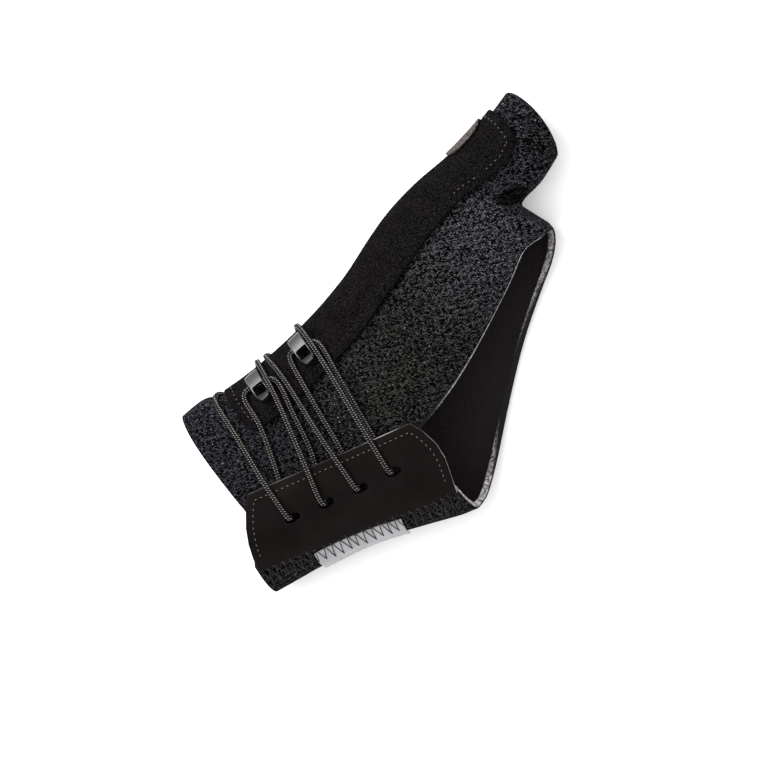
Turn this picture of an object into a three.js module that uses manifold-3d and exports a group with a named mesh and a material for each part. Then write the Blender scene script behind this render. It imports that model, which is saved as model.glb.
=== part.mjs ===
// Thumb brace: a laced sleeve of padded mesh fabric for the wrist, the palm and the thumb, lying on its
// back.
// Millimetres, +Z up. X runs along the hand from the wrist to the fingers and Y points to the thumb side.
import * as THREE from "three";
import { mergeVertices } from "three/addons/utils/BufferGeometryUtils.js";
import Module from "manifold-3d";

const wasm = await Module();
wasm.setup();

// Driving dimensions
const FABRIC = 3; // wall of the padded mesh fabric
const GAP = 0.3; // left between pieces that are sewn or clipped together
const DOME = 1.9; // roundness of the front panel, 2 is an ellipse
const STRIP = 13; // end strip of the sleeve, measured from the little-finger fold
const COVER_GAP = 0.6; // room for the flat facets of the curved fold
const COVER_THICK = 1.2;
const COVER_BACK = 0.58; // share of the back corner that the suede covers
const COVER_TOP = COVER_GAP + COVER_THICK;
const PATCH_THICK = 0.7;
const TAB_THICK = 1.8;
const TAB_LIFT = 3.2; // room for the laces under the tab
const RIBBON_THICK = 0.6;
const RIBBON_WIDTH = 6.6; // seen from above
const LACE_WIDTH = 2;
const SLOT_LENGTH = 6.2; // eyelets of the tab
const SLOT_WIDTH = 3.3;
const WINDOW_LENGTH = 4.3; // opening in a front lace guide
const WINDOW_WIDTH = 5.1;
const WINDOW_SHARE = 0.715; // its place along the guide
const CUT_DEPTH = 8; // length of the shapes that cut eyelets and windows

// Steps of the sleeve's grid, of the other sheets, along and across, and of the laces
const STEPS_PER_ROW = 3;
const FRONT_COLUMNS = 12;
const THUMB_CORNER_COLUMNS = 6;
const FLAT_COLUMNS = 2;
const FINGER_CORNER_COLUMNS = 4;
const STRIP_COLUMNS = 3;
const TAB_GRID = [20, 6];
const RIBBON_GRID = [12, 5];
const ARC_STEPS = 4; // half turn at an eyelet's end
const LACE_SIDES = 8;
const LACE_STEPS = 2; // between two points of a route

// Sections of the sleeve from the wrist to the tip of the thumb tube. Each section runs from the thumb-side
// fold (rx, ry) to the little-finger fold (ux, uy). top: height of the front panel. foldR, foldU: heights
// of the folds. runR, runU: width of the rounded corners of the back. front: share of the way across at
// which the front panel ends. bow: how far the middle is drawn along X. skew: how far the far end of the
// front panel is drawn along X. lean: how far the top is drawn forward. suede: width of the suede strip on
// the front.
const COLUMNS = [
  "rx", "ry", "ux", "uy", "top", "foldR", "foldU", "runR", "runU", "front", "bow", "skew", "lean", "suede",
];
const SECTIONS = [
  [-74.5, 22.2, -70.4, -55.4, 31, 15, 11, 20, 13, 0.77, 3.6, 20, 0, 20], // wrist edge
  [-63.0, 24.7, -57.8, -54.3, 31.6, 15, 11, 20, 13, 0.77, 2, 11.5, 0, 20],
  [-54.0, 22.6, -48.0, -53.6, 32, 15, 11, 20, 13, 0.77, 1, 6, 0, 20],
  [-32.0, 27.1, -26.0, -53.3, 33, 15, 11, 20, 13, 0.77, 0, 0, 0, 20],
  [-10.0, 34.2, -2.0, -56.5, 33, 15, 11, 20, 13, 0.73, 0, 0, 0, 20],
  [5.0, 40.7, 16.5, -58.4, 33, 15, 11, 19, 13, 0.623, 0, 0, 0, 20], // end of the strip
  [13.0, 45.1, 26.0, -49.5, 32, 14, 5, 19, 13, 0.652, 0, 0, 0, 20],
  [24.0, 51.9, 42.2, -27.7, 31, 14, 2, 18, 12, 0.75, 0, 0, 0, 20],
  [34.0, 57.5, 58.5, -7.8, 30, 13, 2, 17, 12, 0.82, 0, 0, 0, 19.4],
  [43.0, 61.2, 73.2, 6.8, 28, 13, 3, 16, 12, 0.843, 0, 0, 0, 18],
  [49.5, 63.5, 84.8, 17.4, 27, 12, 6, 15, 12, 0.845, 0, 0, 0, 18],
  [55.0, 65.0, 89.9, 27.0, 26, 12, 9, 14, 14, 1, 0, 0, 0, 18], // web between thumb and fingers
  [64.0, 67.3, 83.5, 35.0, 25, 12, 9, 13, 20, 1, 0, 0, 0, 17],
  [73.0, 70.4, 83.0, 40.6, 24, 12, 10, 13, 16, 1, 0, 0, 0, 17], // fold beside the thumb tube
  [83.0, 74.6, 93.5, 44.4, 24, 12, 12, 13, 10, 1, 0, 0, 4, 18.5],
  [95.4, 81.2, 103.2, 50.8, 23, 12, 12, 12, 6, 1, 0, 0, 8, 18.5], // tip of the thumb tube
].map((row) => Object.fromEntries(row.map((value, k) => [COLUMNS[k], value])));
const LAST = SECTIONS.length - 1;
const STRIP_ROW = 5;
const WEB_ROW = 11;

// Fold in the front panel where the thumb tube leaves the palm. row, share: its middle. slant: share for
// each row. rows, width: how far it reaches along and across.
const CREASE = { row: 12.8, share: 0.8, slant: 0.19, rows: 0.6, width: 0.12, depth: 2.8 };

// Smooth lines through two columns of the table at a time
const line = (a, b) => new THREE.SplineCurve(SECTIONS.map((row) => new THREE.Vector2(row[a], row[b])));
const LINES = [
  line("rx", "ry"),
  line("ux", "uy"),
  line("top", "front"),
  line("foldR", "foldU"),
  line("runR", "runU"),
  line("bow", "skew"),
  line("lean", "suede"),
];

function section(u) {
  const [thumb, finger, rise, fold, run, bend, tip] = LINES.map((curve) => curve.getPoint(u / LAST));
  const front = u >= WEB_ROW ? 1 : Math.min(1, rise.y);
  const width = thumb.distanceTo(finger);
  return {
    thumb, finger, width, front, top: rise.x, foldR: fold.x, foldU: fold.y, runR: run.x, runU: run.y,
    bow: bend.x, skew: bend.y, lean: Math.max(0, tip.x), suede: tip.y,
  };
}

// A point of a section from its share of the way across and its height. The bow is widest at BOW_MIDDLE.
const BOW_MIDDLE = 0.42;
const BOW_REACH = 0.62;
function across(s, share, z, skew) {
  const plan = s.thumb.clone().lerp(s.finger, share);
  const off = THREE.MathUtils.clamp((share - BOW_MIDDLE) / BOW_REACH, -1, 1);
  plan.x += skew * share ** 2 + s.bow * Math.cos((off * Math.PI) / 2) ** 2;
  const ahead = new THREE.Vector2(s.thumb.y - s.finger.y, s.finger.x - s.thumb.x).divideScalar(s.width);
  const height = (2 * z) / s.top - 1;
  plan.addScaledVector(ahead, s.lean * Math.max(0, height));
  return new THREE.Vector3(plan.x, plan.y, z);
}

// How far the front panel is folded in
function crease(u, share) {
  const along = (u - CREASE.row) / CREASE.rows;
  const off = (share - CREASE.share - CREASE.slant * (u - CREASE.row)) / CREASE.width;
  return CREASE.depth * Math.exp(-(along ** 2) - off ** 2);
}

// The sleeve's outer surface. v goes from 0 at the thumb-side fold to 1 over the front panel, and from 0
// down to -3 over the back: a rounded corner, the flat of the back and the other rounded corner.
function surface(u, v, skewed = false) {
  const s = section(u);
  if (v >= 0) {
    const cos = Math.cos(Math.PI * v);
    const share = (1 - Math.sign(cos) * Math.abs(cos) ** (2 / DOME)) / 2;
    const base = THREE.MathUtils.lerp(s.foldR, s.foldU, share);
    const rise = Math.max(0, Math.sin(Math.PI * v)) ** (2 / DOME);
    return across(s, share, base + (s.top - base) * rise - crease(u, share), skewed ? s.skew : 0);
  }
  if (v > -1) {
    const angle = (-v * Math.PI) / 2;
    return across(s, (s.runR * (1 - Math.cos(angle))) / s.width, s.foldR * (1 - Math.sin(angle)), 0);
  }
  if (v >= -2) {
    const start = s.runR / s.width;
    const end = 1 - s.runU / s.width;
    return across(s, THREE.MathUtils.lerp(start, end, -v - 1), 0, 0);
  }
  const angle = ((-v - 2) * Math.PI) / 2;
  return across(s, 1 - (s.runU * (1 - Math.sin(angle))) / s.width, s.foldU * (1 - Math.cos(angle)), 0);
}

// The value of v on the front panel at a share of the way across
function frontAt(share) {
  const cos = 1 - 2 * THREE.MathUtils.clamp(share, 0, 1);
  return Math.acos(Math.sign(cos) * Math.abs(cos) ** (DOME / 2)) / Math.PI;
}

// Outward direction of the surface, and a point lifted off it
function outward(u, v) {
  const step = 0.01;
  const along = surface(u + step, v).sub(surface(u - step, v));
  const over = surface(u, v + step).sub(surface(u, v - step));
  return over.cross(along).normalize();
}
const lifted = (u, v, lift) => surface(u, v).addScaledVector(outward(u, v), lift);

// Place on the front panel above a point of the plan
function place(x, y) {
  let u = 2;
  let share = 0.5;
  for (let k = 0; k < 60; k += 1) {
    const p = surface(u, frontAt(share));
    const pitch = (surface(u + 0.05, frontAt(share)).x - p.x) / 0.05;
    u = THREE.MathUtils.clamp(u + (x - p.x) / pitch, 0.03, STRIP_ROW + 1);
    share = THREE.MathUtils.clamp(share + (p.y - y) / section(u).width, 0.003, 0.997);
  }
  return { u, v: frontAt(share) };
}

// Place on the thumb-side fold at a value of x, turned onto the front (positive degrees) or the back
function foldPlace(x, turn) {
  let u = 2;
  for (let k = 0; k < 40; k += 1) {
    const pitch = (section(u + 0.05).thumb.x - section(u).thumb.x) / 0.05;
    u += (x - section(u).thumb.x) / pitch;
  }
  return { u, v: turn > 0 ? turn / 180 : turn / 90 };
}

// Closed solid from a sheet of quads, between two distances from the sheet along its normals
function wall(sheet, low, high) {
  const flat = new THREE.BufferGeometry().setFromPoints(sheet.points);
  flat.setIndex(sheet.quads.flatMap(([a, b, c, d]) => [a, b, c, a, c, d]));
  flat.computeVertexNormals();
  const normals = flat.getAttribute("normal");
  const normal = (k) => new THREE.Vector3().fromBufferAttribute(normals, k);
  const layer = (distance) => sheet.points.map((p, k) => p.clone().addScaledVector(normal(k), distance));
  const count = sheet.points.length;
  const edges = new Set();
  for (const quad of sheet.quads) {
    quad.forEach((a, k) => edges.add(a + "," + quad[(k + 1) % 4]));
  }
  const quads = [];
  for (const [a, b, c, d] of sheet.quads) {
    quads.push([a, b, c, d], [d + count, c + count, b + count, a + count]);
  }
  for (const edge of edges) {
    const [a, b] = edge.split(",").map(Number);
    if (!edges.has(b + "," + a)) {
      quads.push([b, a, a + count, b + count]);
    }
  }
  return body([...layer(high), ...layer(low)], quads);
}

function body(points, quads) {
  const geometry = new THREE.BufferGeometry().setFromPoints(points);
  geometry.setIndex(quads.flatMap(([a, b, c, d]) => [a, b, c, a, c, d]));
  return geometry;
}

// Sheet of quads from a grid of points, rows by columns
function gridSheet(grid) {
  const columns = grid[0].length;
  const quads = [];
  for (let i = 0; i + 1 < grid.length; i += 1) {
    for (let j = 0; j + 1 < columns; j += 1) {
      const a = i * columns + j;
      quads.push([a, a + columns, a + columns + 1, a + 1]);
    }
  }
  return { points: grid.flat(), quads };
}
const steps = (count) => Array.from({ length: count + 1 }, (_, k) => k / count);

// Cutting one closed solid from another
function solid(geometry) {
  const plain = geometry.clone();
  plain.deleteAttribute("normal");
  plain.deleteAttribute("uv");
  const merged = mergeVertices(plain, 1e-4);
  const vertProperties = new Float32Array(merged.getAttribute("position").array);
  const triVerts = new Uint32Array(merged.index.array);
  return new wasm.Manifold(new wasm.Mesh({ numProp: 3, vertProperties, triVerts }));
}

function cut(geometry, cutters) {
  let whole = solid(geometry);
  for (const cutter of cutters) {
    whole = whole.subtract(solid(cutter));
  }
  const mesh = whole.getMesh();
  const result = new THREE.BufferGeometry();
  result.setAttribute("position", new THREE.BufferAttribute(mesh.vertProperties, 3));
  result.setIndex(new THREE.BufferAttribute(mesh.triVerts, 1));
  return result;
}

// Values of v across the back
const span = (from, to, count) => steps(count).slice(1).map((t) => from + (to - from) * t);
const BACK_STEPS = [
  ...span(0, -1, THUMB_CORNER_COLUMNS),
  ...span(-1, -2, FLAT_COLUMNS),
  ...span(-2, -3, FINGER_CORNER_COLUMNS),
];

// The sleeve: front panel, back panel and end strip in one sheet, closed all round beyond the web
function sleeve() {
  const points = [];
  const quads = [];
  const rows = [];
  for (let i = 0; i <= LAST * STEPS_PER_ROW; i += 1) {
    const u = i / STEPS_PER_ROW;
    const s = section(u);
    const frontEnd = frontAt(s.front);
    const row = [];
    const put = (p) => row.push(points.push(p) - 1);
    for (const t of steps(FRONT_COLUMNS)) {
      put(surface(u, frontEnd * (1 - t), true));
    }
    for (const v of BACK_STEPS) {
      if (v === -3 && u >= WEB_ROW) {
        row.push(row[0]);
      } else {
        put(surface(u, v));
      }
    }
    const stripEnd = frontAt(1 - STRIP / s.width);
    for (let j = 1; j <= STRIP_COLUMNS && u <= STRIP_ROW; j += 1) {
      put(surface(u, THREE.MathUtils.lerp(1, stripEnd, j / STRIP_COLUMNS)));
    }
    rows.push(row);
  }
  for (let i = 0; i + 1 < rows.length; i += 1) {
    const [near, far] = [rows[i], rows[i + 1]];
    for (let j = 0; j + 1 < Math.min(near.length, far.length); j += 1) {
      quads.push([near[j], far[j], far[j + 1], near[j + 1]]);
    }
  }
  return { points, quads };
}

// A strip laid over the thumb-side fold between two rows, with rounded ends. start, end: rows. slant: how
// much later the front edge starts. roundStart, roundEnd: rows taken up by the rounding. front: share of
// the suede's width on the front. back: share of the back corner. grid: steps along and across.
function foldStrip(strip) {
  const { start, slant, end, roundStart, roundEnd, roundness, front, back } = strip;
  const grid = steps(strip.grid[0]).map((t) =>
    steps(strip.grid[1]).map((q) => {
      const side = (Math.sin((0.5 - q) * Math.PI) + 1 - 2 * q) / 2;
      const rounding = 1 - Math.max(0, 1 - Math.abs(side) ** roundness) ** (1 / roundness);
      const first = start + slant * Math.max(0, side) + roundStart * rounding;
      const u = THREE.MathUtils.lerp(first, end - roundEnd * rounding, t);
      const s = section(u);
      const reach = frontAt((front * s.suede) / s.width);
      return surface(u, side > 0 ? reach * side : back * side, true);
    })
  );
  return gridSheet(grid);
}
const COVER = {
  start: 1.98, slant: 0.18, end: 14.35, roundStart: 0.25, roundEnd: 0.65, roundness: 3.5,
  front: 1, back: COVER_BACK, grid: [32, 12],
};
const PATCH = {
  start: 12.15, slant: 0, end: 14, roundStart: 0.6, roundEnd: 0.6, roundness: 2.5,
  front: 0.13, back: 0.4, grid: [9, 8],
};

// Pull tab: rows from its sewn lower edge to its upper edge, with the lift off the front panel. A lace goes
// down through each eyelet.
const TAB_COLUMNS = ["leftX", "leftY", "rightX", "rightY", "lift"];
const TAB_ROWS = [
  [-69.3, -44.0, 15.2, -48.5, 0.35],
  [-68.4, -40.0, 16.3, -42.5, 1.1],
  [-66.2, -32.5, 17.4, -34.0, TAB_LIFT],
  [-62.5, -24.0, 16.6, -25.0, TAB_LIFT],
  [-57.2, -16.0, 12.8, -17.2, TAB_LIFT],
].map((row) => Object.fromEntries(row.map((value, k) => [TAB_COLUMNS[k], value])));
const EYELETS = [
  [-46.4, -30.3],
  [-31.7, -30.6],
  [-17.2, -30.9],
  [-2.4, -30.6],
];
const tabLine = (a, b) => new THREE.SplineCurve(TAB_ROWS.map((row) => new THREE.Vector2(row[a], row[b])));

function tab() {
  const left = tabLine("leftX", "leftY");
  const right = tabLine("rightX", "rightY");
  const lift = tabLine("lift", "lift");
  const grid = steps(TAB_GRID[0]).map((t) =>
    steps(TAB_GRID[1]).map((q) => {
      const plan = left.getPoint(q).lerp(right.getPoint(q), t);
      const { u, v } = place(plan.x, plan.y);
      return lifted(u, v, lift.getPoint(q).x);
    })
  );
  return cut(wall(gridSheet(grid), 0, TAB_THICK), EYELETS.map(slot));
}

// Turns a shape drawn in the XY plane to stand on the surface at a place, its X along the hand
function standOn(geometry, { u, v }, lift) {
  const up = outward(u, v);
  const ahead = surface(u + 0.01, v).sub(surface(u - 0.01, v)).normalize();
  const side = up.clone().cross(ahead).normalize();
  const frame = new THREE.Matrix4().makeBasis(side.clone().cross(up), side, up);
  return geometry.applyMatrix4(frame.setPosition(lifted(u, v, lift)));
}

function slot([x, y]) {
  const half = (SLOT_LENGTH - SLOT_WIDTH) / 2;
  const shape = new THREE.Shape();
  shape.absarc(half, 0, SLOT_WIDTH / 2, -Math.PI / 2, Math.PI / 2, false);
  shape.absarc(-half, 0, SLOT_WIDTH / 2, Math.PI / 2, (3 * Math.PI) / 2, false);
  const settings = { depth: CUT_DEPTH, bevelEnabled: false, curveSegments: ARC_STEPS };
  return standOn(new THREE.ExtrudeGeometry(shape, settings), place(x + half - GAP, y), 0);
}

// Ribbon on the end strip, from its lower edge at the fold to its upper edge, whose ends lie further along
const RIBBON_START = 1.98; // rows
const RIBBON_END = 3.58;
const RIBBON_SLANT = 0.1;
const RIBBON_LOW = GAP + 0.1;
function ribbon() {
  const grid = steps(RIBBON_GRID[0]).map((t) =>
    steps(RIBBON_GRID[1]).map((q) => {
      const u = THREE.MathUtils.lerp(RIBBON_START, RIBBON_END, t) + RIBBON_SLANT * q;
      return surface(u, frontAt(1 - (RIBBON_WIDTH * q) / section(u).width));
    })
  );
  return wall(gridSheet(grid), RIBBON_LOW, RIBBON_LOW + RIBBON_THICK);
}

// Lace guide: a bridge over the lace, lofted over the surface between two places. share: how far along.
// half: half width. low, high: lifts of the underside and of the top.
const GUIDE_COLUMNS = ["share", "half", "low", "high"];
const FRONT_GUIDE = [
  [0.0, 2.8, 2.2, 3.6],
  [0.05, 3.0, 2.2, 5.2],
  [0.13, 3.1, 2.2, 5.9],
  [0.17, 3.1, 4.5, 6.0],
  [0.4, 3.1, 4.6, 6.1],
  [0.6, 3.1, 4.5, 6.0],
  [0.84, 3.1, 4.0, 5.2],
  [0.9, 2.9, 2.2, 4.3],
  [0.92, 2.1, 2.2, 4.4],
  [1.0, 1.9, 2.2, 4.9],
];
const BACK_GUIDE = [
  [0.0, 3.0, 2.2, 2.9],
  [0.2, 3.0, 2.2, 4.5],
  [0.25, 3.0, 4.3, 5.2],
  [0.5, 3.0, 4.8, 5.6],
  [0.75, 3.0, 4.3, 5.2],
  [0.8, 3.0, 2.2, 4.5],
  [1.0, 3.0, 2.2, 2.9],
];
const CHAMFER = 0.35;

function guide(rows, from, to) {
  const points = [];
  const quads = [];
  for (const row of rows) {
    const { share, half, low, high } = Object.fromEntries(row.map((value, k) => [GUIDE_COLUMNS[k], value]));
    const u = THREE.MathUtils.lerp(from.u, to.u, share);
    const v = THREE.MathUtils.lerp(from.v, to.v, share);
    const up = outward(u, v);
    const down = surface(to.u, to.v).sub(surface(from.u, from.v));
    const side = up.clone().cross(down).normalize();
    const corner = (w, lift) => points.push(lifted(u, v, lift).addScaledVector(side, w));
    corner(-half, low);
    corner(half, low);
    corner(half, high - CHAMFER);
    corner(half - CHAMFER, high);
    corner(CHAMFER - half, high);
    corner(-half, high - CHAMFER);
  }
  const last = (rows.length - 1) * 6;
  for (let a = 0; a < last; a += 6) {
    for (let k = 0; k < 6; k += 1) {
      const next = (k + 1) % 6;
      quads.push([a + k, a + next, a + 6 + next, a + 6 + k]);
    }
  }
  quads.push([0, 5, 2, 1], [5, 4, 3, 2]);
  quads.push([last, last + 1, last + 2, last + 5], [last + 2, last + 3, last + 4, last + 5]);
  return body(points, quads);
}

function frontGuide(from, to) {
  const u = THREE.MathUtils.lerp(from.u, to.u, WINDOW_SHARE);
  const v = THREE.MathUtils.lerp(from.v, to.v, WINDOW_SHARE);
  const opening = new THREE.BoxGeometry(WINDOW_WIDTH, WINDOW_LENGTH, CUT_DEPTH);
  return cut(guide(FRONT_GUIDE, from, to), [standOn(opening, { u, v }, CUT_DEPTH / 2)]);
}

// Laces: each runs from the back guide over the fold and the tab, down through an eyelet, back under the
// tab and through the front guide, then the same way to the next eyelet, and back over the fold.
const panel = (x, y, lift) => {
  const { u, v } = place(x, y);
  return lifted(u, v, lift);
};
const fold = (x, turn, lift) => {
  const { u, v } = foldPlace(x, turn);
  return lifted(u, v, lift);
};
const TOP = TAB_LIFT + TAB_THICK + GAP + 0.1 + LACE_WIDTH / 2; // lace lying on the tab
const UNDER = 1.45; // lace between the front panel and the tab
const ON_COVER = COVER_TOP + GAP + 0.1 + LACE_WIDTH / 2;
const OVER_LACE = ON_COVER + LACE_WIDTH + GAP;
const downEyelet = ([x, y]) => [
  panel(x - 0.3, y + 4, TOP),
  panel(x - 0.1, y + 0.7, TOP - 0.35),
  panel(x, y - 0.1, TAB_LIFT + TAB_THICK / 2),
  panel(x, y + 0.7, UNDER + 0.5),
  panel(x + 0.1, y + 4, UNDER),
];
const upEyelet = (eyelet) => downEyelet(eyelet).reverse();

const LACE_1 = [
  fold(-47.7, -34, ON_COVER),
  fold(-51.6, -35, ON_COVER),
  fold(-55.2, -39, ON_COVER - 0.3),
  fold(-58, -26, 1.7),
  fold(-58.9, 4, 1.5),
  panel(-58.2, 20.5, 1.4),
  panel(-56.2, 15.5, 1.4),
  panel(-54, 9, 2),
  panel(-51.6, 1, 3.9),
  panel(-49.4, -10, 5.8),
  panel(-48.4, -17, TOP),
  ...downEyelet(EYELETS[0]),
  panel(-44.6, -20, UNDER),
  panel(-43.2, -9, UNDER),
  panel(-41.9, 1.5, 2.7),
  panel(-42, 7, ON_COVER),
  panel(-43.9, 13, ON_COVER),
  panel(-44.7, 16.4, ON_COVER),
  panel(-43.2, 18.7, ON_COVER),
  panel(-39.4, 18.8, ON_COVER),
  panel(-34.8, 19, ON_COVER),
  panel(-31.2, 19.4, ON_COVER),
  panel(-28.9, 17.5, ON_COVER),
  panel(-27.9, 12, ON_COVER),
  panel(-28.1, 6, 3.1),
  panel(-27.5, -3, 1.8),
  panel(-27.4, -12, UNDER),
  panel(-29.2, -21, UNDER),
  ...upEyelet(EYELETS[1]),
  panel(-30.6, -17, TOP),
  panel(-30.5, -8, OVER_LACE + 0.5),
  panel(-30.6, 3, OVER_LACE),
  panel(-30.8, 10, OVER_LACE),
  panel(-32, 18.5, OVER_LACE + 0.2),
  panel(-33.6, 23.2, OVER_LACE - 0.6),
  fold(-36, 6, ON_COVER + 0.2),
  fold(-37.8, -12, ON_COVER),
  fold(-40.5, -28, ON_COVER),
  fold(-44, -34, ON_COVER),
  fold(-47.2, -34, ON_COVER),
];
const LACE_2 = [
  fold(-25.2, -34, ON_COVER),
  fold(-29, -35, ON_COVER),
  fold(-31.6, -36, ON_COVER + 0.2),
  fold(-33, -18, ON_COVER + 0.3),
  fold(-32.8, 6, ON_COVER + 0.1),
  panel(-29.4, 24.3, ON_COVER),
  panel(-26.7, 18.5, ON_COVER),
  panel(-24.6, 11, ON_COVER + 0.3),
  panel(-23.2, 3, 3.6),
  panel(-20.8, -9, 5.2),
  panel(-19, -17, TOP),
  ...downEyelet(EYELETS[2]),
  panel(-16.2, -20, UNDER),
  panel(-17.2, -9, UNDER),
  panel(-18.6, 2, 1.8),
  panel(-19.4, 10.5, ON_COVER),
  panel(-20.3, 17, ON_COVER),
  panel(-21.7, 22.5, ON_COVER),
  panel(-20.8, 24.6, ON_COVER),
  panel(-17, 24.7, ON_COVER),
  panel(-12.6, 25.2, ON_COVER),
  panel(-9, 25.4, ON_COVER),
  panel(-6.9, 22.8, ON_COVER),
  panel(-6.2, 16, ON_COVER),
  panel(-5.4, 9, 2.6),
  panel(-4.3, -1, 1.6),
  panel(-3.4, -11, UNDER),
  panel(-2.4, -21, UNDER),
  ...upEyelet(EYELETS[3]),
  panel(-3.4, -17, TOP),
  panel(-4.6, -9, OVER_LACE + 0.5),
  panel(-5.8, 2, OVER_LACE),
  panel(-7, 10, OVER_LACE),
  panel(-8.6, 19, OVER_LACE + 0.1),
  panel(-10.6, 26, OVER_LACE + 0.1),
  panel(-12.6, 30, OVER_LACE - 1),
  fold(-15.6, 5, ON_COVER + 0.2),
  fold(-17.4, -12, ON_COVER),
  fold(-19.4, -28, ON_COVER),
  fold(-22, -34, ON_COVER),
  fold(-24.7, -34, ON_COVER),
];

// A lace keeps its steps close where its points are close
class Route extends THREE.CatmullRomCurve3 {
  getUtoTmapping(u) {
    return u;
  }
}

function lace(points) {
  const ring = steps(LACE_SIDES).slice(1).map((t) => {
    const angle = 2 * Math.PI * t;
    return new THREE.Vector2(Math.cos(angle), Math.sin(angle)).multiplyScalar(LACE_WIDTH / 2);
  });
  const settings = { steps: (points.length - 1) * LACE_STEPS, extrudePath: new Route(points) };
  return new THREE.ExtrudeGeometry(new THREE.Shape(ring), settings);
}

const GUIDE_PLACES = {
  lace_guide_front_1: [foldPlace(-38.8, 22), place(-35.2, 12.9)],
  lace_guide_front_2: [foldPlace(-17, 22), place(-13.2, 18.4)],
  lace_guide_back_1: [foldPlace(-47.4, -22), foldPlace(-47.4, -48)],
  lace_guide_back_2: [foldPlace(-25, -22), foldPlace(-25, -48)],
};

const COLOURS = {
  mesh: "#1b1b1e", suede: "#141213", patch: "#5a5254", leather: "#191514", ribbon: "#8f8f93",
  plastic: "#101012", lace: "#1c1a1a",
};
const brace = new THREE.Group();
brace.name = "thumb_brace";
function piece(name, geometry, colour, roughness) {
  const material = new THREE.MeshStandardMaterial({ color: colour, roughness });
  const mesh = new THREE.Mesh(geometry, material);
  mesh.name = name;
  brace.add(mesh);
}
const PATCH_LOW = COVER_TOP + GAP;
piece("body_shell", wall(sleeve(), -FABRIC, 0), COLOURS.mesh, 0.9);
piece("stay_cover", wall(foldStrip(COVER), COVER_GAP, COVER_TOP), COLOURS.suede, 0.95);
piece("edge_patch", wall(foldStrip(PATCH), PATCH_LOW, PATCH_LOW + PATCH_THICK), COLOURS.patch, 0.8);
piece("lace_tab", tab(), COLOURS.leather, 0.6);
piece("seam_ribbon", ribbon(), COLOURS.ribbon, 0.5);
for (const [name, [from, to]] of Object.entries(GUIDE_PLACES)) {
  const made = name.includes("front") ? frontGuide(from, to) : guide(BACK_GUIDE, from, to);
  piece(name, made, COLOURS.plastic, 0.25);
}
piece("lace_1", lace(LACE_1), COLOURS.lace, 0.7);
piece("lace_2", lace(LACE_2), COLOURS.lace, 0.7);

// The middle of the brace's base becomes the origin
const box = new THREE.Box3().setFromObject(brace);
const middle = box.getCenter(new THREE.Vector3());
brace.position.set(-middle.x, -middle.y, -box.min.z);

export default brace;
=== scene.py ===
# %% [markdown]
# # A laced thumb brace, dressed for the camera
# The brace is a sleeve of padded knitted mesh with a suede strip along the thumb, a leather pull tab
# and two braided laces. Its solids are already built, at their real size, and this lesson gives them
# their surfaces. The pieces are worked out from those solids, so a change of shape there carries
# through. Only where a finish begins or ends is written down, in millimetres.

import math
import random

import bmesh
import bpy
from mathutils import Matrix, Vector
from mathutils.bvhtree import BVHTree


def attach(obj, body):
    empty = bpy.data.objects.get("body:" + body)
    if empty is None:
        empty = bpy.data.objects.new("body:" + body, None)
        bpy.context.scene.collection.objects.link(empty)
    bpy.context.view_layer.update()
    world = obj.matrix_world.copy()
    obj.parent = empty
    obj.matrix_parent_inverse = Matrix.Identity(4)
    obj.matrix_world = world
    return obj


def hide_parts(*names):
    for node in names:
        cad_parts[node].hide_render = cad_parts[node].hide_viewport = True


MM = 0.001
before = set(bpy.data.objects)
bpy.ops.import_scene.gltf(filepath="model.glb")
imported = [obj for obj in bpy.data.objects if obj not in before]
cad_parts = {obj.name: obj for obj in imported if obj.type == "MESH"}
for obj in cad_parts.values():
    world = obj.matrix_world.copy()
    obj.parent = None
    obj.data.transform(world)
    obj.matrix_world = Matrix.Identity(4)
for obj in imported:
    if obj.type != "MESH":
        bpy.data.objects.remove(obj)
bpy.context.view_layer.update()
scene = bpy.context.scene

# %% [markdown]
# ## The view
# The brace lies on a pale table and is seen from nearly straight above, leaning a little towards the
# fingers, with the picture turned so that the hand runs up to the right. A long lens keeps the lines
# parallel. The camera's three axes are written down directly, because a turn about the line of sight is
# clumsy in rotation angles.

# %% Camera
LEAN = math.radians(15)
TURN = math.radians(25)
AIM = Vector((-16.6, -11.1, 0)) * MM
VIEW_WIDTH = 295.7 * MM
LENS = 500  # millimetres, as Blender counts lenses and sensors
SENSOR = 36

along = Vector((math.cos(LEAN), 0, -math.sin(LEAN)))
thumbwards = Vector((0, 1, 0))
right = math.cos(TURN) * along - math.sin(TURN) * thumbwards
up = math.sin(TURN) * along + math.cos(TURN) * thumbwards
back = right.cross(up)
camera = bpy.data.objects.new("camera", bpy.data.cameras.new("camera"))
camera.data.lens = LENS
camera.data.sensor_width = SENSOR
camera.matrix_world = Matrix((right, up, back)).transposed().to_4x4()
camera.location = AIM + back * (VIEW_WIDTH * LENS / SENSOR)
scene.collection.objects.link(camera)
scene.camera = camera
print("camera at", [round(x, 3) for x in camera.location])

# %% [markdown]
# ## Colours and nodes
# A colour given here is an sRGB hex value, and a shader wants it linear, so one function turns one
# into the other. A second function adds a shader node: its settings are properties of the node, and its
# inputs are values or outputs of other nodes. Every material below is written with these two.


# %% Colour and node helpers
def linear(code):
    """The linear colour of an sRGB hex value."""
    parts = [int(code[k:k + 2], 16) / 255 for k in (1, 3, 5)]
    return (*[p / 12.92 if p <= 0.04045 else ((p + 0.055) / 1.055) ** 2.4 for p in parts], 1)


def blank(name):
    """A material with no nodes yet."""
    material = bpy.data.materials.new(name)
    material.use_nodes = True
    material.node_tree.nodes.clear()
    return material


def add(material, kind, inputs, **settings):
    """Adds a node to a material, with its settings, and its inputs as values or links."""
    made = material.node_tree.nodes.new(kind)
    for name, value in settings.items():
        setattr(made, name, value)
    for socket, value in inputs.items():
        if isinstance(value, bpy.types.NodeSocket):
            material.node_tree.links.new(value, made.inputs[socket])
        else:
            made.inputs[socket].default_value = value
    return made


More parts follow.
